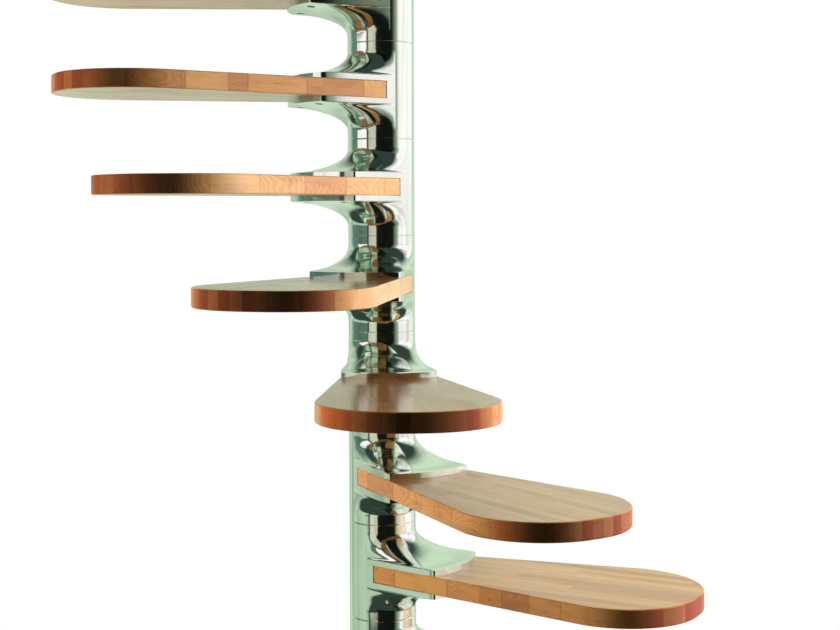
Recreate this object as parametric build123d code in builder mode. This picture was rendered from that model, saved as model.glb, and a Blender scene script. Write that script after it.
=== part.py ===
"""Spiral staircase with wooden paddle treads on a column of polished cast hubs.

One casting shape serves every tread twice: below it as the bracket that carries the tread and,
turned over, above it as the clamp. Each casting is a trumpet whose mouth spreads over the root of
the tread. Its half collar closes one side of the column round the tread's inner end, and the
collar of the turned casting closes the other side. The castings are stacked on a central tube,
from a full round trumpet on the floor to a cap on top.

Units are millimetres and degrees. +Z is up, the column stands on the origin and the floor is Z = 0.
In a tread's own frame +X runs out along the tread, and the next tread up lies on its -Y side.
"""

from build123d import *
from math import acos, asin, cos, degrees, radians, sin, tan
import os

# Stair: the treads climb clockwise seen from above
RISE = 200.0
FIRST_TREAD_ANGLE = 27.0
STEP_TURNS = (0.0, 28.0, 28.0, 28.0, 28.0, 24.0, 26.0, 22.0, 9.0)

# Column and central tube
COLUMN_RADIUS = 70.0
COLUMN_WALL = 8.0
TUBE_RADIUS = 30.0
TUBE_WALL = 4.0
TUBE_CLEARANCE = 0.4
BOSS_WALL = 8.0

# Treads
TREAD_THICKNESS = 36.0
TREAD_REACH = 684.0
SIDE_INSET = 0.7
TREAD_TAPER = 10.4
TREAD_TIP_RADIUS = 3000.0
TREAD_TIP_FLAT = 22.0
TREAD_EDGE_RADIUS = 3.0
TREAD_SHOULDER = 20.0
SHOULDER_GAP = 2.0

# Hub castings
MOUTH_RADIUS = 196.0
MOUTH_RIM = 11.0
MOUTH_CORNER = 9.0
MOUTH_EDGE_RADIUS = 2.0
NECK_STRAIGHT = 18.0
FLARE_ANGLE = 77.0
FLARE_SHARES = (0.10, 0.25, 0.45, 0.65, 0.85)
ROLL_SHARES = (0.50, 0.52, 0.58, 0.66, 0.78)
MOUTH_ROLL_SHARE = 0.90
CORE_SHARES = (0.15, 0.40, 0.70, 1.0)
SEAT_PLATE = 12.0
SEAM_CHAMFER = 1.5
COLLAR_WALL = 11.0
COLLAR_GAP = 0.6
COLLAR_CLEARANCE = 0.8

# Screw pockets in the castings below the treads
SCREW_EDGE = 36.0
SCREW_ACROSS = 55.0
SCREW_POCKET_RADIUS = 8.5
SCREW_HOLE_RADIUS = 3.5
SCREW_SEAT = 6.0

# Floor trumpet and its anchor bolts
ANCHOR_COUNT = 6
ANCHOR_EDGE = 36.0
ANCHOR_HOLE_RADIUS = 6.5
ANCHOR_SPOT_RADIUS = 13.0
ANCHOR_SEAT = 9.0

# Column cap
CAP_RIM = 5.0
CAP_CROWN = 4.0
CAP_SPIGOT = 10.0
CAP_CLEARANCE = 0.4

# How far cutting shapes run past what they cut
OVERRUN = 20.0

# Sizes that follow from those above
# The tread's side lines run just inside the round of the column
TREAD_HALF_WIDTH = (COLUMN_RADIUS - SIDE_INSET) / cos(radians(TREAD_TAPER))
TREAD_END = TREAD_REACH + OVERRUN
HUB_HEIGHT = (RISE - TREAD_THICKNESS) / 2
CORE_HEIGHT = HUB_HEIGHT - SEAT_PLATE
NECK_BORE = COLUMN_RADIUS - COLUMN_WALL
COLLAR_BORE = COLUMN_RADIUS - COLLAR_WALL
TUBE_BORE = TUBE_RADIUS + TUBE_CLEARANCE
BOSS_RADIUS = TUBE_BORE + BOSS_WALL
SCREW_OUT = MOUTH_RADIUS - SCREW_EDGE
ANCHOR_CIRCLE_RADIUS = MOUTH_RADIUS - ANCHOR_EDGE
COLUMN_TOP = HUB_HEIGHT + len(STEP_TURNS) * RISE
CAP_TOP = COLUMN_TOP + CAP_RIM + CAP_CROWN
# The flare is an arc of an ellipse, upright at the neck and still rising a little at the mouth
FLARE_END = MOUTH_RADIUS - MOUTH_EDGE_RADIUS
FLARE_REACH = (FLARE_END - COLUMN_RADIUS) / (1 - cos(radians(FLARE_ANGLE)))
FLARE_HEIGHT = (HUB_HEIGHT - MOUTH_RIM - NECK_STRAIGHT) / sin(radians(FLARE_ANGLE))
FLARE_CENTRE = (COLUMN_RADIUS + FLARE_REACH, NECK_STRAIGHT)
# The front of a casting spans this much to each side, up to the rounds at the mouth's corners
MOUTH_TURN = degrees(acos((COLUMN_RADIUS - SIDE_INSET) / MOUTH_RADIUS) + MOUTH_CORNER / MOUTH_RADIUS)
FRONT_ANGLE = 90 + TREAD_TAPER - MOUTH_TURN
# The core stops at the seat plate, this share of the way along the flare
CORE_END_SHARE = degrees(asin((CORE_HEIGHT - NECK_STRAIGHT) / (FLARE_HEIGHT + COLUMN_WALL))) / FLARE_ANGLE


def side_offset(out):
    """Half the width between the tread's side lines, at a distance out from the column's axis."""
    return TREAD_HALF_WIDTH + out * tan(radians(TREAD_TAPER))


# The rounds at the corners of the tip leave a short end between them
TREAD_TIP_CORNER = (side_offset(TREAD_REACH) - TREAD_TIP_FLAT / 2) * tan(radians(90 - TREAD_TAPER) / 2)


def polar(radius, angle):
    """The point of the plan at a radius and an angle."""
    return Vector(radius * cos(radians(angle)), radius * sin(radians(angle)))


def flare_point(arc_share, wall=0.0):
    """Radius and height on the flare's skin, or on its inner skin, by the share of its arc from the neck."""
    turn = radians(FLARE_ANGLE * arc_share)
    out = COLUMN_RADIUS + FLARE_REACH - (FLARE_REACH + wall) * cos(turn)
    return out, NECK_STRAIGHT + (FLARE_HEIGHT + wall) * sin(turn)


def root_angle(neck, inset):
    """Where the tread's side line, or a line inside it, leaves the round of the neck."""
    return 90 + TREAD_TAPER - degrees(acos((COLUMN_RADIUS - SIDE_INSET - inset) / neck))


def petal_plan(neck, front, inset, roll_share):
    """Plan of the flare at one height: the column's round back, sides that roll off the tread's side lines
    and a round front. The larger the roll share, the closer the corners keep to the side lines."""
    root = root_angle(neck, inset)
    start = polar(neck, root)
    end = polar(front, FRONT_ANGLE)
    along = polar(1, TREAD_TAPER)
    facing = polar(1, FRONT_ANGLE)
    corner = start + along * ((front - start.dot(facing)) / along.dot(facing))
    side = (start, start + (corner - start) * roll_share, end + (corner - end) * roll_share, end)
    with BuildSketch() as plan:
        with BuildLine():
            CenterArc((0, 0), neck, root, 360 - 2 * root)
            Bezier(*(Vector(point.X, -point.Y) for point in side))
            CenterArc((0, 0), front, -FRONT_ANGLE, 2 * FRONT_ANGLE)
            Bezier(*reversed(side))
        make_face()
    return plan.sketch


def neck_plan(neck, inset):
    """The round plan of the neck, parted at the same places as the plans of the flare above it."""
    root = root_angle(neck, inset)
    start = polar(neck, root)
    end = polar(neck, FRONT_ANGLE)
    # Handles of this length make the side curves follow the round
    handle = neck * tan(radians(root - FRONT_ANGLE) / 4) * 4 / 3
    side = (start, start + polar(handle, root - 90), end + polar(handle, FRONT_ANGLE + 90), end)
    with BuildSketch() as plan:
        with BuildLine():
            CenterArc((0, 0), neck, root, 360 - 2 * root)
            Bezier(*(Vector(point.X, -point.Y) for point in side))
            CenterArc((0, 0), neck, -FRONT_ANGLE, 2 * FRONT_ANGLE)
            Bezier(*reversed(side))
        make_face()
    return plan.sketch


mouth_plan = petal_plan(COLUMN_RADIUS, MOUTH_RADIUS, 0, MOUTH_ROLL_SHARE)

# The trumpet, solid, with its mouth upwards
with BuildPart() as trumpet:
    with BuildSketch(Plane.XZ):
        with BuildLine():
            Polyline(
                (0, HUB_HEIGHT),
                (0, 0),
                (COLUMN_RADIUS - SEAM_CHAMFER, 0),
                (COLUMN_RADIUS, SEAM_CHAMFER),
                (COLUMN_RADIUS, NECK_STRAIGHT),
            )
            flare = EllipticalCenterArc(
                FLARE_CENTRE,
                FLARE_REACH,
                FLARE_HEIGHT,
                start_angle=180 - FLARE_ANGLE,
                arc_size=FLARE_ANGLE,
            )
            rim_turn = (MOUTH_RADIUS, HUB_HEIGHT - MOUTH_RIM + MOUTH_EDGE_RADIUS)
            TangentArc(flare @ 0, rim_turn, tangent=-(flare % 0))
            Polyline(
                rim_turn,
                (MOUTH_RADIUS, HUB_HEIGHT),
                (0, HUB_HEIGHT),
            )
        make_face()
    revolve(axis=Axis.Z)

# The core that hollows a trumpet between its skin, its seat plate and the boss round the tube
with BuildPart() as trumpet_core:
    with BuildSketch(Plane.XZ):
        with BuildLine():
            Polyline(
                (0, HUB_HEIGHT),
                (0, 0),
                (NECK_BORE, 0),
                (NECK_BORE, NECK_STRAIGHT),
            )
            inner_flare = EllipticalCenterArc(
                FLARE_CENTRE,
                FLARE_REACH + COLUMN_WALL,
                FLARE_HEIGHT + COLUMN_WALL,
                start_angle=180 - FLARE_ANGLE,
                arc_size=FLARE_ANGLE,
            )
            Polyline(
                inner_flare @ 0,
                (FLARE_END, HUB_HEIGHT),
                (0, HUB_HEIGHT),
            )
        make_face()
        with Locations((0, CORE_HEIGHT)):
            Rectangle(MOUTH_RADIUS + OVERRUN, HUB_HEIGHT, align=(Align.MIN, Align.MIN), mode=Mode.SUBTRACT)
    revolve(axis=Axis.Z)

# The core that hollows a casting keeps an even wall inside the flare and leaves the boss round the tube
with BuildPart() as hub_core:
    with BuildSketch():
        add(neck_plan(NECK_BORE, COLUMN_WALL))
    extrude(amount=NECK_STRAIGHT)
    with BuildSketch(Plane.XY.offset(NECK_STRAIGHT)):
        add(neck_plan(NECK_BORE, COLUMN_WALL))
    for core_share, roll_share in zip(CORE_SHARES, ROLL_SHARES):
        out, up = flare_point(core_share * CORE_END_SHARE, COLUMN_WALL)
        with BuildSketch(Plane.XY.offset(up)):
            add(petal_plan(NECK_BORE, out, COLUMN_WALL, roll_share))
    loft()
    with BuildSketch():
        Circle(BOSS_RADIUS)
    extrude(amount=CORE_HEIGHT, mode=Mode.SUBTRACT)

# The half collar stands on the seat on the side of the next tread up
with BuildPart() as collar:
    with BuildSketch(Plane.XY.offset(HUB_HEIGHT)):
        add(mouth_plan)
        Circle(COLLAR_BORE, mode=Mode.SUBTRACT)
        with Locations((TREAD_SHOULDER - SHOULDER_GAP, -COLLAR_GAP / 2)):
            Rectangle(MOUTH_RADIUS, MOUTH_RADIUS, align=(Align.MAX, Align.MAX), mode=Mode.INTERSECT)
    extrude(amount=TREAD_THICKNESS)

# The casting: a round neck, the flare lofted from it to the mouth, the rim and the collar
with BuildPart() as hub:
    with BuildSketch():
        add(neck_plan(COLUMN_RADIUS, 0))
    extrude(amount=NECK_STRAIGHT)
    chamfer(hub.edges().group_by(Axis.Z)[0], SEAM_CHAMFER)
    with BuildSketch(Plane.XY.offset(NECK_STRAIGHT)):
        add(neck_plan(COLUMN_RADIUS, 0))
    for arc_share, roll_share in zip(FLARE_SHARES, ROLL_SHARES):
        out, up = flare_point(arc_share)
        with BuildSketch(Plane.XY.offset(up)):
            add(petal_plan(COLUMN_RADIUS, out, 0, roll_share))
    with BuildSketch(Plane.XY.offset(HUB_HEIGHT - MOUTH_RIM)):
        add(mouth_plan)
    loft()
    with BuildSketch(Plane.XY.offset(HUB_HEIGHT - MOUTH_RIM)):
        add(mouth_plan)
    extrude(amount=MOUTH_RIM)
    add(hub_core.part, mode=Mode.SUBTRACT)
    add(collar.part)
    with BuildSketch():
        Circle(TUBE_BORE)
    extrude(amount=RISE, mode=Mode.SUBTRACT)

# The casting below a tread is drilled for two screws in deep round pockets
with BuildPart() as bracket_hub:
    add(hub.part)
    with BuildSketch():
        with Locations((SCREW_OUT, -SCREW_ACROSS), (SCREW_OUT, SCREW_ACROSS)):
            Circle(SCREW_POCKET_RADIUS)
    extrude(amount=HUB_HEIGHT - SCREW_SEAT, mode=Mode.SUBTRACT)
    with BuildSketch():
        with Locations((SCREW_OUT, -SCREW_ACROSS), (SCREW_OUT, SCREW_ACROSS)):
            Circle(SCREW_HOLE_RADIUS)
    extrude(amount=HUB_HEIGHT, mode=Mode.SUBTRACT)

# The tread, a fan-shaped board whose narrow end is a disc round the central tube
with BuildPart() as tread:
    with BuildSketch(Plane.XY.offset(HUB_HEIGHT)) as board:
        with BuildLine():
            Polyline(
                (TREAD_SHOULDER, -side_offset(TREAD_SHOULDER)),
                (TREAD_END, -side_offset(TREAD_END)),
                (TREAD_END, side_offset(TREAD_END)),
                (TREAD_SHOULDER, side_offset(TREAD_SHOULDER)),
                close=True,
            )
        make_face()
        with Locations((TREAD_REACH - TREAD_TIP_RADIUS, 0)):
            Circle(TREAD_TIP_RADIUS, mode=Mode.INTERSECT)
        across = board.vertices().sort_by(Axis.Y)
        fillet((across[0], across[-1]), TREAD_TIP_CORNER)
        Circle(COLLAR_BORE - COLLAR_CLEARANCE)
        Circle(TUBE_BORE, mode=Mode.SUBTRACT)
    extrude(amount=TREAD_THICKNESS)
    flat_edges = tread.edges().filter_by(Axis.Z, reverse=True)
    fillet(flat_edges.filter_by_position(Axis.X, COLUMN_RADIUS, TREAD_REACH), TREAD_EDGE_RADIUS)

# The floor trumpet is left full round; its closed plate carries the tube and is bolted down
with BuildPart() as base_foot:
    with Locations(Location((0, 0, HUB_HEIGHT), (180, 0, 0))):
        add(trumpet.part)
        add(trumpet_core.part, mode=Mode.SUBTRACT)
    with BuildSketch(Plane.XY.offset(SEAT_PLATE)):
        Circle(BOSS_RADIUS)
        Circle(TUBE_BORE, mode=Mode.SUBTRACT)
    extrude(amount=CORE_HEIGHT)
    with BuildSketch():
        with PolarLocations(ANCHOR_CIRCLE_RADIUS, ANCHOR_COUNT):
            Circle(ANCHOR_HOLE_RADIUS)
    extrude(amount=HUB_HEIGHT, mode=Mode.SUBTRACT)
    with BuildSketch(Plane.XY.offset(ANCHOR_SEAT)):
        with PolarLocations(ANCHOR_CIRCLE_RADIUS, ANCHOR_COUNT):
            Circle(ANCHOR_SPOT_RADIUS)
    extrude(amount=HUB_HEIGHT, mode=Mode.SUBTRACT)

with BuildPart() as centre_tube:
    with BuildSketch(Plane.XY.offset(SEAT_PLATE)):
        Circle(TUBE_RADIUS)
        Circle(TUBE_RADIUS - TUBE_WALL, mode=Mode.SUBTRACT)
    extrude(amount=COLUMN_TOP - SEAT_PLATE)

# The cap's ring drops into the open core of the topmost casting
with BuildPart() as top_cap:
    with BuildSketch(Plane.XZ):
        with BuildLine():
            Polyline(
                (0, CAP_TOP),
                (0, COLUMN_TOP),
                (BOSS_RADIUS + CAP_CLEARANCE, COLUMN_TOP),
                (BOSS_RADIUS + CAP_CLEARANCE, COLUMN_TOP - CAP_SPIGOT),
                (NECK_BORE - CAP_CLEARANCE, COLUMN_TOP - CAP_SPIGOT),
                (NECK_BORE - CAP_CLEARANCE, COLUMN_TOP),
                (COLUMN_RADIUS - SEAM_CHAMFER, COLUMN_TOP),
                (COLUMN_RADIUS, COLUMN_TOP + SEAM_CHAMFER),
                (COLUMN_RADIUS, COLUMN_TOP + CAP_RIM),
            )
            TangentArc((0, CAP_TOP), (COLUMN_RADIUS, COLUMN_TOP + CAP_RIM), tangent=(1, 0))
        make_face()
    revolve(axis=Axis.Z)

os.makedirs("parts", exist_ok=True)

base_foot.part.label = "base_foot"
export_step(base_foot.part, "parts/base_foot.step")
centre_tube.part.label = "centre_tube"
export_step(centre_tube.part, "parts/centre_tube.step")
top_cap.part.label = "top_cap"
export_step(top_cap.part, "parts/top_cap.step")

# Every step stands on the seam of the one below and is turned on from it
turned = Location((0, 0, RISE), (180, 0, 0))
angle = FIRST_TREAD_ANGLE
for step, turn in enumerate(STEP_TURNS):
    angle = angle - turn
    place = Location((0, 0, HUB_HEIGHT + step * RISE), (0, 0, angle))
    number = step + 1
    with BuildPart() as lower_hub:
        with Locations(place):
            add(bracket_hub.part)
    lower_hub.part.label = f"lower_hub_{number}"
    export_step(lower_hub.part, f"parts/lower_hub_{number}.step")
    with BuildPart() as upper_hub:
        with Locations(place * turned):
            add(hub.part)
    upper_hub.part.label = f"upper_hub_{number}"
    export_step(upper_hub.part, f"parts/upper_hub_{number}.step")
    with BuildPart() as step_tread:
        with Locations(place):
            add(tread.part)
    step_tread.part.label = f"tread_{number}"
    export_step(step_tread.part, f"parts/tread_{number}.step")
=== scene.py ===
# %% [markdown]
# # A spiral stair: wooden treads on a column of polished castings
# The CAD part already holds every tread and casting at its real size. This lesson dresses it: a
# varnished, laminated wood for the treads, a hand-polished aluminium for the castings, and the
# screws and floor bolts that are too small to be worth a CAD piece. Each cell does one job.

import math

import bpy
from mathutils import Matrix, Vector


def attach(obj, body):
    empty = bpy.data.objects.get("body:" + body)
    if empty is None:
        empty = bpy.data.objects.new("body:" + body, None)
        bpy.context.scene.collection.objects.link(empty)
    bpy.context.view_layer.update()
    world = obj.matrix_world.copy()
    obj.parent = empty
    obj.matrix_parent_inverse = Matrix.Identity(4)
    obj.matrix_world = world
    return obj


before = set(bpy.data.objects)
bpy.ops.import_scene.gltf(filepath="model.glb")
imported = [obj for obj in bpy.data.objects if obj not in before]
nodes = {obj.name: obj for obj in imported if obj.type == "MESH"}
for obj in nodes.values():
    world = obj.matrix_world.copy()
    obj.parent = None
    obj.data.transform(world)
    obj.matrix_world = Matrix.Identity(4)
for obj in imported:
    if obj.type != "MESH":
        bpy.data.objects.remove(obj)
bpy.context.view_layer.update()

# %% [markdown]
# ## The sizes that the looks depend on
# The wood grain has to run along each tread, so the turn of every step is needed here again. Lengths
# are in metres. Angles are in degrees from +X, and the stair climbs clockwise seen from above.

# %% Sizes
RISE = 0.200
TREAD_THICKNESS = 0.036
FIRST_TREAD_ANGLE = 27.0
STEP_TURNS = (0, 28, 28, 28, 28, 24, 26, 22, 9)

step_angles = []
turned = FIRST_TREAD_ANGLE
for turn in STEP_TURNS:
    turned -= turn
    step_angles.append(turned)
print("steps point to", step_angles)

# %% [markdown]
# ## Camera
# The photograph was taken at chest height from about three metres. A camera that looks down makes
# upright lines lean, and here they stay parallel. So the camera is tilted by one degree only, and
# the rest of the framing comes from shifting the lens.

# %% Camera
IMAGE_WIDTH = 840
FOCAL_PIXELS = 1476.4
SHIFT_RIGHT_PIXELS = 38.5
SHIFT_DOWN_PIXELS = 77.5
SENSOR_WIDTH = 36.0
CAMERA_DISTANCE = 3.112
CAMERA_HEIGHT = 1.331
CAMERA_TILT = 89.0
CAMERA_ROLL = -0.23

lens = bpy.data.cameras.new("camera")
lens.sensor_width = SENSOR_WIDTH
lens.lens = FOCAL_PIXELS / IMAGE_WIDTH * SENSOR_WIDTH
lens.shift_x = SHIFT_RIGHT_PIXELS / IMAGE_WIDTH
lens.shift_y = -SHIFT_DOWN_PIXELS / IMAGE_WIDTH
camera = bpy.data.objects.new("camera", lens)
bpy.context.scene.collection.objects.link(camera)
place = Matrix.Translation((0, -CAMERA_DISTANCE, CAMERA_HEIGHT))
tilt = Matrix.Rotation(math.radians(CAMERA_TILT), 4, "X")
roll = Matrix.Rotation(math.radians(CAMERA_ROLL), 4, "Z")
camera.matrix_world = place @ tilt @ roll
bpy.context.scene.camera = camera
print("lens", round(lens.lens, 2), "mm")

# %% [markdown]
# ## Writing shader sums like ordinary sums
# A procedural material is a long sum. `Wire` wraps one socket of a shader tree, so that `a * 2 + b`
# makes the Math nodes by itself, and `Sheet.node` makes any other node and hands back its output.
# A Mix node has its colour sockets behind those for numbers and vectors, so they go by their place.

# %% Shader sums
MIX_FIRST_COLOUR = 6
MIX_SECOND_COLOUR = 7
MIX_COLOUR_RESULT = 2


class Wire:
    """One output socket of a shader tree, written into sums like a number."""

    def __init__(self, sheet, socket):
        self.sheet = sheet
        self.socket = socket

    def math(self, operation, *others):
        return self.sheet.math(operation, self, *others)

    def __add__(self, other):
        return self.math("ADD", other)

    def __radd__(self, other):
        return self.sheet.math("ADD", other, self)

    def __sub__(self, other):
        return self.math("SUBTRACT", other)

    def __rsub__(self, other):
        return self.sheet.math("SUBTRACT", other, self)

    def __mul__(self, other):
        return self.math("MULTIPLY", other)

    def __rmul__(self, other):
        return self.sheet.math("MULTIPLY", other, self)

    def __truediv__(self, other):
        return self.math("DIVIDE", other)

    def __rtruediv__(self, other):
        return self.sheet.math("DIVIDE", other, self)

    def ramp(self, low, high):
        """0 below low, 1 above high and smooth between them."""
        inputs = {"Value": self, "From Min": low, "From Max": high}
        return self.sheet.node("ShaderNodeMapRange", inputs, "Result", interpolation_type="SMOOTHSTEP")


class Sheet:
    """The node tree of one material, with its principled shader."""

    def __init__(self, name):
        self.material = bpy.data.materials.new(name)
        self.material.use_nodes = True
        self.tree = self.material.node_tree
        self.shader = self.tree.nodes["Principled BSDF"]

    def put(self, target, value):
        if isinstance(value, Wire):
            self.tree.links.new(value.socket, target)
        else:
            target.default_value = value

    def node(self, kind, inputs, output, **settings):
        made = self.tree.nodes.new(kind)
        for name, value in settings.items():
            setattr(made, name, value)
        for name, value in inputs.items():
            self.put(made.inputs[name], value)
        return Wire(self, made.outputs[output])

    def math(self, operation, *values):
        return self.node("ShaderNodeMath", dict(enumerate(values)), "Value", operation=operation)

    def spot(self):
        """The place on the piece, in metres."""
        return self.node("ShaderNodeTexCoord", {}, "Object")

    def vector(self, x, y, z):
        return self.node("ShaderNodeCombineXYZ", {"X": x, "Y": y, "Z": z}, "Vector")

    def split(self, vector):
        first = self.node("ShaderNodeSeparateXYZ", {"Vector": vector}, "X")
        outputs = first.socket.node.outputs
        return [Wire(self, outputs[axis]) for axis in "XYZ"]

    def swing(self, vector, degrees):
        """A vector turned about the upright axis."""
        inputs = {"Vector": vector, "Angle": math.radians(degrees)}
        return self.node("ShaderNodeVectorRotate", inputs, "Vector", rotation_type="Z_AXIS")

    def mix(self, factor, first, second):
        """Blends two colours."""
        inputs = {"Factor": factor, MIX_FIRST_COLOUR: first, MIX_SECOND_COLOUR: second}
        return self.node("ShaderNodeMix", inputs, MIX_COLOUR_RESULT, data_type="RGBA")

    def noise(self, vector, scale=1.0, detail=3.0, roughness=0.5):
        inputs = {"Vector": vector, "Scale": scale, "Detail": detail, "Roughness": roughness}
        return self.node("ShaderNodeTexNoise", inputs, "Fac")

    def chance(self, vector):
        """A random number that stays the same wherever the vector stays the same."""
        return self.node("ShaderNodeTexWhiteNoise", {"Vector": vector}, "Value")

    def bump(self, height, strength, distance):
        inputs = {"Height": height, "Strength": strength, "Distance": distance}
        return self.node("ShaderNodeBump", inputs, "Normal")

    def set(self, **sockets):
        for name, value in sockets.items():
            self.put(self.shader.inputs[name.replace("_", " ")], value)
        return self.material


print("shader helpers ready")

# %% [markdown]
# ## Polished casting
# The hubs are cast, ground and buffed by hand. A buffed casting is a mirror that is never quite
# true: wide, very shallow waves bend the reflections, and fine buffing lines soften them a little.
# The alloy has a pale green tinge. The lines run round the column, so they are noise that changes
# fast with height and slowly sideways.

# %% Polished casting
WAVES_PER_METRE = 11.0
LINES_SIDEWAYS = 45
LINES_UPWARDS = 1100
LINE_HAZE = 0.03
LINE_HEIGHT = 0.006
CLOUDS_PER_METRE = 9.0
CLOUD_SHADE = 0.86
CLOUD_SHARE = 0.4
CLOUD_HAZE = 0.06


def polished_metal(name, tint, haze):
    sheet = Sheet(name)
    spot = sheet.spot()
    x, y, z = sheet.split(spot)
    waves = sheet.noise(spot, WAVES_PER_METRE, detail=1.0)
    stretched = sheet.vector(x * LINES_SIDEWAYS, y * LINES_SIDEWAYS, z * LINES_UPWARDS)
    lines = sheet.noise(stretched, detail=4.0, roughness=0.6)
    cloud = sheet.noise(spot, CLOUDS_PER_METRE, detail=5.0, roughness=0.6)
    shade = tuple(CLOUD_SHADE * channel for channel in tint)
    return sheet.set(
        Base_Color=sheet.mix(cloud.ramp(0.35, 0.8) * CLOUD_SHARE, tint + (1,), shade + (1,)),
        Metallic=1.0,
        Roughness=haze + CLOUD_HAZE * cloud.ramp(0.45, 0.75) + LINE_HAZE * lines,
        Normal=sheet.bump(waves + lines * LINE_HEIGHT, strength=0.05, distance=0.004),
    )


def dress(node, material):
    """Gives a CAD piece one material in place of those it came with."""
    node.data.materials.clear()
    node.data.materials.append(material)


casting = polished_metal("polished casting", tint=(0.80, 0.88, 0.79), haze=0.07)
castings = [node for name, node in nodes.items() if "hub" in name or name in ("base_foot", "top_cap")]
for node in castings:
    dress(node, casting)
print("castings:", len(castings))

# %% [markdown]
# ## Laminated, varnished wood
# A tread is glued up from staves that run along it, each made of shorter blocks. The tapered sides
# cut across the staves, which is why the edge looks built from blocks. Every block has its own tone
# and its own growth rings: circles round a heart line that mostly lies outside the block. Where the
# round tip cuts across the fibres the wood drinks in more stain, some treads more than others. A
# clear varnish lies over everything, thinner on the thirsty tip. A picture of wood laid on the tread
# would smear down its edges, so the pattern is worked out in depth, in the tread's own frame. Every
# tread has a material of its own for that, with the same recipe and another turn and seed.

# %% Wood pattern values
STAVE_WIDTH = 0.024
STAVE_SEED = 7.3
BLOCK_LENGTH = 0.42
BLOCK_SHIFT = 5
BLOCK_SEED = 3.7
HEART_SPREAD = 4.0
HEART_LEAN = 0.06
HEART_DEPTH = 0.12
GROWTH_WIDTH = 0.0034
GROWTH_WANDER = 0.026
GROWTH_LEAST = 0.35
KNOTS_PER_METRE = 34
WEAR_PER_METRE = 9
FIBRE_HEIGHT = 0.6
PORE_HEIGHT = 0.3
print("growth rings across a stave:", round(STAVE_WIDTH / GROWTH_WIDTH))

# %% Wood tone values
PALE = (0.76, 0.40, 0.125, 1)
HONEY = (0.60, 0.245, 0.062, 1)
BROWN = (0.24, 0.062, 0.020, 1)
RUDDY = (0.54, 0.125, 0.036, 1)
END_GRAIN = (0.15, 0.020, 0.010, 1)
BLOCK_HONEY = 0.8
FIBRE_HONEY = 0.2
GROWTH_BROWN = 0.34
STREAK_BROWN = 0.35
BLOCK_BROWN = 0.30
KNOT_BROWN = 0.6
PORE_BROWN = 0.30
JOINT_BROWN = 0.45
SLANT_STAIN = 0.35
SLANT_STAIN_LUCK = 0.55
END_STAIN = 0.48
END_STAIN_RINGS = 0.30
END_STAIN_LUCK = 0.22
TIP_STAIN_SHARES = (0.8, 0.8, 1.0, 1.0, 1.0, 0.35, 0.5, 0.8, 0.8)
ROUGH_LEAST = 0.32
ROUGH_FIBRE = 0.12
VARNISH_LEAST = 0.72
VARNISH_SPREAD = 0.20
VARNISH_LOST = 0.95
print("tip stain from", min(TIP_STAIN_SHARES), "to", max(TIP_STAIN_SHARES))


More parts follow.
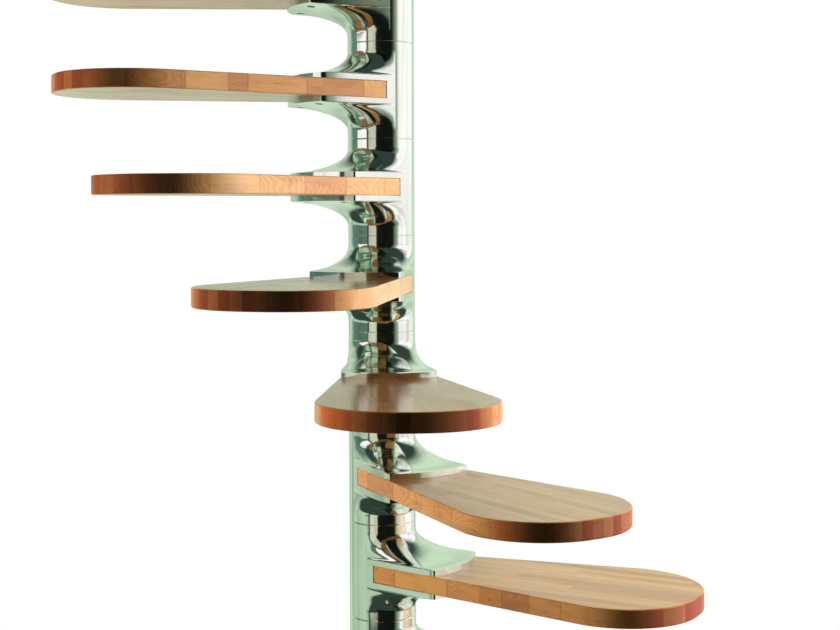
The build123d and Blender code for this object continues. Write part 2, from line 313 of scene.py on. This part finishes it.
# %% Tread wood
def tread_wood(number, angle):
    sheet = Sheet(f"tread wood {number}")
    local = sheet.swing(sheet.spot(), -angle)
    along, across, up = sheet.split(local)

    # Staves lie side by side, and the blocks of each start somewhere else.
    count = across / STAVE_WIDTH + 0.5
    stave = count.math("FLOOR")
    shift = sheet.chance(sheet.vector(stave, number * STAVE_SEED, 1.0))
    length = along / BLOCK_LENGTH + shift * BLOCK_SHIFT
    block = length.math("FLOOR")

    def draw(use):
        """A random number for every block, another one for every use."""
        return sheet.chance(sheet.vector(stave, block, number * BLOCK_SEED + use))

    luck = draw(1)
    heart = draw(2) - 0.5
    depth = draw(3)

    def grain(lengthwise, crosswise, jump, detail, roughness=0.5):
        """Noise that is drawn out along the fibres and jumps from block to block."""
        stretched = sheet.vector(along * lengthwise + luck * jump, across * crosswise, up * crosswise)
        return sheet.noise(stretched, detail=detail, roughness=roughness)

    drift = grain(lengthwise=6, crosswise=20, jump=40, detail=4.0)
    fibre = grain(lengthwise=7, crosswise=260, jump=90, detail=4.0, roughness=0.6)
    pores = grain(lengthwise=40, crosswise=900, jump=50, detail=2.0)
    streak = grain(lengthwise=3, crosswise=70, jump=60, detail=3.0)
    knots = sheet.noise(local, KNOTS_PER_METRE, detail=1.0)
    worn = sheet.noise(local, WEAR_PER_METRE, detail=4.0)

    # Growth rings are circles round the heart line, bent a little by the drift and dark where they end.
    side = across - (stave + heart * HEART_SPREAD) * STAVE_WIDTH + along * (luck - 0.5) * HEART_LEAN
    below = up - (number * RISE - TREAD_THICKNESS / 2) + (depth - 0.5) * HEART_DEPTH
    rings = ((side * side + below * below).math("SQRT") + drift * GROWTH_WANDER) / GROWTH_WIDTH
    clear = GROWTH_LEAST + (1 - GROWTH_LEAST) * heart.math("ABSOLUTE") * 2
    late = rings.math("FRACT").ramp(0.20, 0.95) * clear

    # The tone starts from the block and darkens with rings, streaks, knots, pores and glued joints.
    tone = sheet.mix(luck * BLOCK_HONEY + fibre * FIBRE_HONEY, PALE, HONEY)
    tone = sheet.mix(late * GROWTH_BROWN + streak.ramp(0.45, 0.8) * STREAK_BROWN, tone, BROWN)
    tone = sheet.mix(luck.ramp(0.70, 1.0) * BLOCK_BROWN, tone, BROWN)
    tone = sheet.mix(knots.ramp(0.76, 0.82) * KNOT_BROWN, tone, BROWN)
    tone = sheet.mix(pores.ramp(0.6, 0.85) * PORE_BROWN, tone, BROWN)
    glue = (count.math("FRACT") - 0.5).math("ABSOLUTE").ramp(0.480, 0.499)
    butt = (length.math("FRACT") - 0.5).math("ABSOLUTE").ramp(0.4982, 0.4998)
    joint = glue.math("MAXIMUM", butt)
    tone = sheet.mix(joint * JOINT_BROWN, tone, BROWN)

    # The more a face looks along the fibres, the more stain it drinks and the less varnish it keeps.
    facing = sheet.node("ShaderNodeNewGeometry", {}, "Normal")
    outward = sheet.split(sheet.swing(facing, -angle))[0]
    slant = (outward * outward).ramp(0.02, 0.24)
    cut_end = (outward * outward).ramp(0.12, 0.80)
    stain = TIP_STAIN_SHARES[number - 1]
    tone = sheet.mix(slant * (SLANT_STAIN + SLANT_STAIN_LUCK * luck) * stain, tone, RUDDY)
    soaked = END_STAIN + END_STAIN_RINGS * late + END_STAIN_LUCK * luck
    tone = sheet.mix(cut_end * soaked, tone, END_GRAIN)
    varnish = VARNISH_LEAST + VARNISH_SPREAD * worn.ramp(0.3, 0.6)
    height = fibre * FIBRE_HEIGHT + pores * PORE_HEIGHT - joint
    return sheet.set(
        Base_Color=tone,
        Roughness=ROUGH_LEAST + ROUGH_FIBRE * fibre,
        Coat_Weight=varnish * (1.0 - VARNISH_LOST * slant),
        Coat_Roughness=0.14,
        Coat_IOR=1.5,
        Specular_IOR_Level=0.1,
        Normal=sheet.bump(height, strength=0.10, distance=0.0005),
    )


for number, angle in enumerate(step_angles, 1):
    dress(nodes[f"tread_{number}"], tread_wood(number, angle))
print("treads:", len(step_angles))

# %% [markdown]
# ## Steel tube
# The tube is shut inside the castings, so nothing shows of it. The recipe of the castings does for
# it too: a darker tint and more haze give a plain drawn steel.

# %% Tube
steel = polished_metal("drawn steel", tint=(0.42, 0.42, 0.41), haze=0.28)
dress(nodes["centre_tube"], steel)
print("tube dressed")

# %% [markdown]
# ## Screws and floor bolts
# Two screws hold every tread from below, in round pockets of the casting under it, and six bolts hold
# the foot to the floor. All have a hexagon head on a washer. They could be set one by one, but a node
# tree does it once: it builds one head from named sizes, puts a copy on every point of a small mesh
# and turns each copy by chance, as a spanner leaves it.

# %% Bolt tree
WASHER_SIDES = 40
HEAD_SIDES = 6
CROWN_SIDES = 36
CROWN_TOP_SHARE = 0.70
CROWN_BASE_SHARE = 0.86
CROWN_HEIGHT_SHARE = 0.16


def bolt_tree(material):
    tree = bpy.data.node_groups.new("hexagon bolts", "GeometryNodeTree")
    tree.interface.new_socket("Geometry", in_out="INPUT", socket_type="NodeSocketGeometry")
    for name in ("Head radius", "Head height", "Washer radius", "Washer thickness", "Tilt"):
        tree.interface.new_socket(name, in_out="INPUT", socket_type="NodeSocketFloat")
    tree.interface.new_socket("Seed", in_out="INPUT", socket_type="NodeSocketInt")
    tree.interface.new_socket("Geometry", in_out="OUTPUT", socket_type="NodeSocketGeometry")
    given = tree.nodes.new("NodeGroupInput").outputs
    join = tree.nodes.new("GeometryNodeJoinGeometry")

    def node(kind, inputs, **settings):
        made = tree.nodes.new(kind)
        for name, value in settings.items():
            setattr(made, name, value)
        for name, value in inputs.items():
            if isinstance(value, bpy.types.NodeSocket):
                tree.links.new(value, made.inputs[name])
            else:
                made.inputs[name].default_value = value
        return made

    def total(operation, first, second):
        return node("ShaderNodeMath", {0: first, 1: second}, operation=operation).outputs[0]

    def turning(sides, base, top, depth, height):
        """Adds a round or many-sided block that starts at a height."""
        sizes = {"Vertices": sides, "Radius Bottom": base, "Radius Top": top, "Depth": depth}
        mesh = node("GeometryNodeMeshCone", sizes).outputs["Mesh"]
        lift = node("ShaderNodeCombineXYZ", {"Z": height}).outputs[0]
        raised = node("GeometryNodeTransform", {"Geometry": mesh, "Translation": lift}).outputs[0]
        tree.links.new(raised, join.inputs[0])

    washer = given["Washer radius"]
    thick = given["Washer thickness"]
    head = given["Head radius"]
    tall = given["Head height"]
    crown_base = total("MULTIPLY", head, CROWN_BASE_SHARE)
    crown_top = total("MULTIPLY", head, CROWN_TOP_SHARE)
    crown_tall = total("MULTIPLY", tall, CROWN_HEIGHT_SHARE)
    turning(WASHER_SIDES, washer, washer, thick, height=0.0)
    turning(HEAD_SIDES, head, head, tall, height=thick)
    turning(CROWN_SIDES, crown_base, crown_top, crown_tall, height=total("ADD", thick, tall))

    chance = {"Max": (0.0, 0.0, math.tau), "Seed": given["Seed"]}
    spin = node("FunctionNodeRandomValue", chance, data_type="FLOAT_VECTOR").outputs[0]
    lean = node("ShaderNodeCombineXYZ", {"X": given["Tilt"]}).outputs[0]
    turn = node("ShaderNodeVectorMath", {0: spin, 1: lean}, operation="ADD").outputs[0]
    points = node("GeometryNodeMeshToPoints", {"Mesh": given["Geometry"]}).outputs[0]
    copies = {"Points": points, "Instance": join.outputs[0], "Rotation": turn}
    spread = node("GeometryNodeInstanceOnPoints", copies).outputs[0]
    real = node("GeometryNodeRealizeInstances", {"Geometry": spread}).outputs[0]
    dressed = node("GeometryNodeSetMaterial", {"Geometry": real, "Material": material}).outputs[0]
    tree.links.new(dressed, tree.nodes.new("NodeGroupOutput").inputs[0])
    return tree


bolt_steel = polished_metal("bolt steel", tint=(0.55, 0.56, 0.56), haze=0.22)
hexagon_bolts = bolt_tree(bolt_steel)
print("bolt tree:", len(hexagon_bolts.nodes), "nodes")

# %% Screws and floor bolts
SCREW_OUT = 0.160
SCREW_ACROSS = 0.055
SCREW_SEAT = 0.006
SCREW_SIZES = {
    "Head radius": 0.0055,
    "Head height": 0.0032,
    "Washer radius": 0.0075,
    "Washer thickness": 0.0012,
    "Tilt": math.pi,
    "Seed": 4,
}
ANCHOR_COUNT = 6
ANCHOR_CIRCLE_RADIUS = 0.160
ANCHOR_SEAT = 0.009
ANCHOR_SIZES = {
    "Head radius": 0.0092,
    "Head height": 0.0064,
    "Washer radius": 0.0115,
    "Washer thickness": 0.002,
    "Tilt": 0.0,
    "Seed": 9,
}


def bolts(name, places, sizes):
    """One mesh with a bolt at every place."""
    carrier_mesh = bpy.data.meshes.new(name + " places")
    carrier_mesh.from_pydata(places, [], [])
    carrier = bpy.data.objects.new(name + " places", carrier_mesh)
    bpy.context.scene.collection.objects.link(carrier)
    modifier = carrier.modifiers.new("bolts", "NODES")
    modifier.node_group = hexagon_bolts
    for item in hexagon_bolts.interface.items_tree:
        if item.name in sizes:
            modifier[item.identifier] = sizes[item.name]
    ready = carrier.evaluated_get(bpy.context.evaluated_depsgraph_get())
    mesh = bpy.data.meshes.new_from_object(ready)
    bpy.data.objects.remove(carrier)
    piece = bpy.data.objects.new(name, mesh)
    bpy.context.scene.collection.objects.link(piece)
    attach(piece, "root")
    print(name, len(places), "bolts,", len(mesh.polygons), "faces")


def circle(radius, count, height):
    """Places spread evenly round the upright axis."""
    turns = [math.tau * i / count for i in range(count)]
    return [(radius * math.cos(turn), radius * math.sin(turn), height) for turn in turns]


screw_places = []
for number, angle in enumerate(step_angles, 1):
    turn = Matrix.Rotation(math.radians(angle), 3, "Z")
    seat = number * RISE - TREAD_THICKNESS - SCREW_SEAT
    for across in (-SCREW_ACROSS, SCREW_ACROSS):
        screw_places.append(turn @ Vector((SCREW_OUT, across, seat)))
bolts("tread_screws", screw_places, SCREW_SIZES)
bolts("floor_bolts", circle(ANCHOR_CIRCLE_RADIUS, ANCHOR_COUNT, ANCHOR_SEAT), ANCHOR_SIZES)

# %% [markdown]
# ## A ring of light for the metal
# Bright metal only shows what stands round it, so the studio is the lighting. A ring of upright
# strips stands round the stair: a tall white panel on the right, a higher one and a window on the
# left, pale walls behind, and darkness on the camera's side. A picture wrapped round the scene could
# do this too, but strips need no file and each can be moved. They show in mirrors only, the camera
# itself sees none of them, and all grow dark towards the top and the bottom of the ring.

# %% Ring materials
RING_DISTANCE = 3.3
RING_BOTTOM = -1.2
RING_TOP = 3.9
SOFT_BOTTOM = -0.5
SOFT_TOP = 2.5
PATCHES_PER_METRE = 0.9
UNEVEN_SHARE = 0.68
BLACK = (0, 0, 0, 1)
ROOM_DARK = (0.03, 0.06, 0.05, 1)


def give_light(sheet, spot, light, strength):
    """Makes a material that only gives off light, most of all at the middle of the ring's height."""
    height = sheet.split(spot)[2]
    middle = height.ramp(RING_BOTTOM, SOFT_BOTTOM) * (1.0 - height.ramp(SOFT_TOP, RING_TOP))
    return sheet.set(
        Base_Color=BLACK,
        Roughness=1.0,
        Specular_IOR_Level=0.0,
        Emission_Color=sheet.mix(middle, ROOM_DARK, light),
        Emission_Strength=strength,
    )


def glow(name, colour, strength):
    """A material that gives off a slightly uneven light."""
    sheet = Sheet(name)
    spot = sheet.spot()
    uneven = sheet.noise(spot, PATCHES_PER_METRE, detail=2.0).ramp(0.35, 0.70)
    faint = tuple(UNEVEN_SHARE * channel for channel in colour)
    return give_light(sheet, spot, sheet.mix(uneven, colour + (1,), faint + (1,)), strength)


def fading_glow(name, angles, first, last):
    """A material whose light changes between two angles. A light is a colour and a strength."""
    sheet = Sheet(name)
    spot = sheet.spot()
    x, y = sheet.split(spot)[:2]
    start, end = (math.radians(angle) for angle in angles)
    share = sheet.math("ARCTAN2", x, 0.0 - y).ramp(start, end)
    shades = [tuple(strength * channel for channel in colour) + (1,) for colour, strength in (first, last)]
    return give_light(sheet, spot, sheet.mix(share, *shades), 1.0)


print("ring from", RING_BOTTOM, "to", RING_TOP, "m, at", RING_DISTANCE, "m")


# %% Strips
def around(angle, height, distance):
    """A place round the stair: 0 is towards the camera, positive turns to the camera's right."""
    turn = math.radians(angle)
    return (distance * math.sin(turn), -distance * math.cos(turn), height)


def light_sheet(name, corners, material):
    """A flat sheet that gives off light and that the camera doesn't see."""
    mesh = bpy.data.meshes.new(name)
    mesh.from_pydata(corners, [], [(0, 1, 2, 3)])
    mesh.materials.append(material)
    piece = bpy.data.objects.new(name, mesh)
    bpy.context.scene.collection.objects.link(piece)
    piece.visible_camera = False
    piece.visible_shadow = False
    return piece


def upright(name, angles, heights, material):
    """An upright strip of the ring, between two angles and two heights. It shows in mirrors only."""
    start, end = angles
    bottom, top = heights
    corners = [(start, bottom), (end, bottom), (end, top), (start, top)]
    panel = light_sheet(name, [around(angle, z, RING_DISTANCE) for angle, z in corners], material)
    panel.visible_diffuse = False


def strip(name, angles, heights, colour, strength):
    upright(name, angles, heights, glow(name, colour, strength))


def fading_strip(name, angles, heights, first, last):
    upright(name, angles, heights, fading_glow(name, angles, first, last))


print("strip helpers ready")

# %% The ring
WHITE = (1.0, 0.91, 0.957)
CREAM = (1.0, 0.94, 0.78)
GREEN = (0.825, 1.0, 0.78)
TEAL = (0.56, 1.0, 0.80)
LOW_WALL_TOP = 0.45
LEFT_PANEL_FOOT = 1.40
WINDOW_FOOT = -0.4
WINDOW_HEAD = 3.2
FULL = (RING_BOTTOM, RING_TOP)
LOW = (RING_BOTTOM, LOW_WALL_TOP)
HIGH = (LOW_WALL_TOP, RING_TOP)
PANEL = (LEFT_PANEL_FOOT, RING_TOP)
UNDER_PANEL = (LOW_WALL_TOP, LEFT_PANEL_FOOT)
WINDOW = (WINDOW_FOOT, WINDOW_HEAD)
BEHIND = 180
LEFT_WALL_END = -132
CORNER_START = -110
LEFT_PANEL_START = -88
POST_START = -50
WINDOW_START = -44
DARK_START = -18
DUSK_START = 38
HALF_LIGHT_START = 54
RIGHT_PANEL_START = 63
RIGHT_PANEL_END = 135

strip("wall behind left", (-BEHIND, LEFT_WALL_END), FULL, GREEN, 0.79)
fading_strip("left wall fades", (LEFT_WALL_END, CORNER_START), HIGH, (GREEN, 0.66), (TEAL, 0.22))
strip("dim corner", (CORNER_START, LEFT_PANEL_START), HIGH, TEAL, 0.26)
strip("low dim corner", (LEFT_WALL_END, LEFT_PANEL_START), LOW, GREEN, 0.66)
strip("left panel", (LEFT_PANEL_START, POST_START), PANEL, WHITE, 1.27)
strip("below left panel", (LEFT_PANEL_START, POST_START), UNDER_PANEL, TEAL, 0.20)
strip("low left wall", (LEFT_PANEL_START, POST_START), LOW, GREEN, 0.71)
strip("window post", (POST_START, WINDOW_START), FULL, TEAL, 0.08)
strip("left window", (WINDOW_START, DARK_START), WINDOW, CREAM, 0.80)
strip("dark side", (DARK_START, DUSK_START), FULL, GREEN, 0.010)
fading_strip("dusk", (DUSK_START, HALF_LIGHT_START), FULL, (TEAL, 0.010), (GREEN, 0.36))
fading_strip("half light", (HALF_LIGHT_START, RIGHT_PANEL_START), FULL, (GREEN, 0.36), (WHITE, 1.10))
strip("right panel", (RIGHT_PANEL_START, RIGHT_PANEL_END), FULL, WHITE, 1.25)
strip("wall behind right", (RIGHT_PANEL_END, BEHIND), FULL, GREEN, 0.86)
print("ring of strips ready")

# %% [markdown]
# ## Light for the wood
# The wood takes its light from a broad panel overhead and from two lamps, which all stay out of
# mirrors. Two more lamps, wide and soft, are seen by the varnish alone: they lay the pale sheen on the
# treads. Left free they would show in the castings as well, so light linking keeps them to the wood.

# %% Top panel
AMBER = (1.0, 0.85, 0.62, 1)
PANEL_LIGHT = 0.95
CEILING = 3.9
CEILING_HALF = 1.8
CEILING_FRONT = -1.2
CEILING_BACK = 2.4
roof = [
    (-CEILING_HALF, CEILING_FRONT, CEILING),
    (CEILING_HALF, CEILING_FRONT, CEILING),
    (CEILING_HALF, CEILING_BACK, CEILING),
    (-CEILING_HALF, CEILING_BACK, CEILING),
]
top_glow = Sheet("top panel")
top_glow.set(Base_Color=BLACK, Emission_Color=AMBER, Emission_Strength=PANEL_LIGHT)
top_panel = light_sheet("top panel", roof, top_glow.material)
top_panel.visible_glossy = False
print("top panel", 2 * CEILING_HALF, "m wide")

# %% Lamps
AIM_HEIGHT = 1.2
varnished = bpy.data.collections.new("varnished wood")
for number in range(1, len(step_angles) + 1):
    varnished.objects.link(nodes[f"tread_{number}"])


def lamp(name, angle, height, distance, size, power, colour):
    """A soft lamp, aimed at the column. Mirrors don't show it."""
    light = bpy.data.lights.new(name, "AREA")
    light.shape = "DISK"
    light.size = size
    light.energy = power
    light.color = colour
    piece = bpy.data.objects.new(name, light)
    bpy.context.scene.collection.objects.link(piece)
    place = Vector(around(angle, height, distance))
    aim = (Vector((0, 0, AIM_HEIGHT)) - place).to_track_quat("-Z", "Y").to_matrix().to_4x4()
    piece.matrix_world = Matrix.Translation(place) @ aim
    piece.visible_glossy = False
    return piece


def sheen(name, angle, height, distance, size, power, colour):
    """A lamp that only the varnish on the treads mirrors."""
    piece = lamp(name, angle, height, distance, size, power, colour)
    piece.visible_glossy = True
    piece.visible_diffuse = False
    piece.light_linking.receiver_collection = varnished


lamp("right lamp", angle=87, height=1.25, distance=2.9, size=1.2, power=182, colour=(0.90, 0.98, 1.24))
lamp("left lamp", angle=-90, height=1.1, distance=2.9, size=1.2, power=110, colour=(1.0, 0.86, 0.68))
sheen("right sheen", angle=84, height=1.6, distance=2.4, size=3.8, power=28, colour=(1.0, 0.97, 0.88))
sheen("back sheen", angle=180, height=1.5, distance=2.4, size=2.6, power=1.5, colour=(1.0, 0.87, 0.58))

# %% [markdown]
# ## Backdrop
# The camera sees plain white behind the stair. All other rays find a dim green-grey room, because a
# white one all round would wash out the dark reflections that give the castings their shape.

# %% Backdrop
BACKDROP_WHITE = (1, 1, 1, 1)
ROOM_TINT = (0.46, 0.72, 0.60, 1)
ROOM_STRENGTH = 0.08

world = bpy.data.worlds.new("backdrop")
bpy.context.scene.world = world
world.use_nodes = True
tree = world.node_tree
tree.nodes.clear()
seen = tree.nodes.new("ShaderNodeBackground")
seen.inputs["Color"].default_value = BACKDROP_WHITE
felt = tree.nodes.new("ShaderNodeBackground")
felt.inputs["Color"].default_value = ROOM_TINT
felt.inputs["Strength"].default_value = ROOM_STRENGTH
path = tree.nodes.new("ShaderNodeLightPath")
blend = tree.nodes.new("ShaderNodeMixShader")
out = tree.nodes.new("ShaderNodeOutputWorld")
tree.links.new(path.outputs["Is Camera Ray"], blend.inputs["Fac"])
tree.links.new(felt.outputs[0], blend.inputs[1])
tree.links.new(seen.outputs[0], blend.inputs[2])
tree.links.new(blend.outputs[0], out.inputs["Surface"])
bpy.context.scene.view_settings.view_transform = "Standard"
print("backdrop ready")

# %% [markdown]
# ## Floor
# The floor is a pale disc under the foot. A hard rim would show against the white, so the disc fades
# out towards it, and only the shadow round the foot is left.

# %% Floor
FLOOR_RADIUS = 1.25
FLOOR_SIDES = 96
FLOOR_DROP = 0.001
FLOOR_TONE = (0.93, 0.93, 0.92, 1)
FLOOR_COVER = 0.65
FADE_START = 0.35
FADE_END = 0.98
GRIT_PER_METRE = 60.0
FLOOR_ROUGH = 0.75
GRIT_ROUGH = 0.1

floor_mesh = bpy.data.meshes.new("floor")
floor_mesh.from_pydata(circle(FLOOR_RADIUS, FLOOR_SIDES, -FLOOR_DROP), [], [tuple(range(FLOOR_SIDES))])
floor = bpy.data.objects.new("floor", floor_mesh)
floor.visible_glossy = False
bpy.context.scene.collection.objects.link(floor)
pale = Sheet("pale floor")
floor_x, floor_y = pale.split(pale.spot())[:2]
distance = (floor_x * floor_x + floor_y * floor_y).math("SQRT") / FLOOR_RADIUS
grit = pale.noise(pale.vector(floor_x, floor_y, 0.0), GRIT_PER_METRE, detail=4.0)
pale.set(
    Base_Color=FLOOR_TONE,
    Roughness=FLOOR_ROUGH + GRIT_ROUGH * grit,
    Alpha=FLOOR_COVER - FLOOR_COVER * distance.ramp(FADE_START, FADE_END),
    Specular_IOR_Level=0.1,
)
floor_mesh.materials.append(pale.material)
print("floor", 2 * FLOOR_RADIUS, "m across")
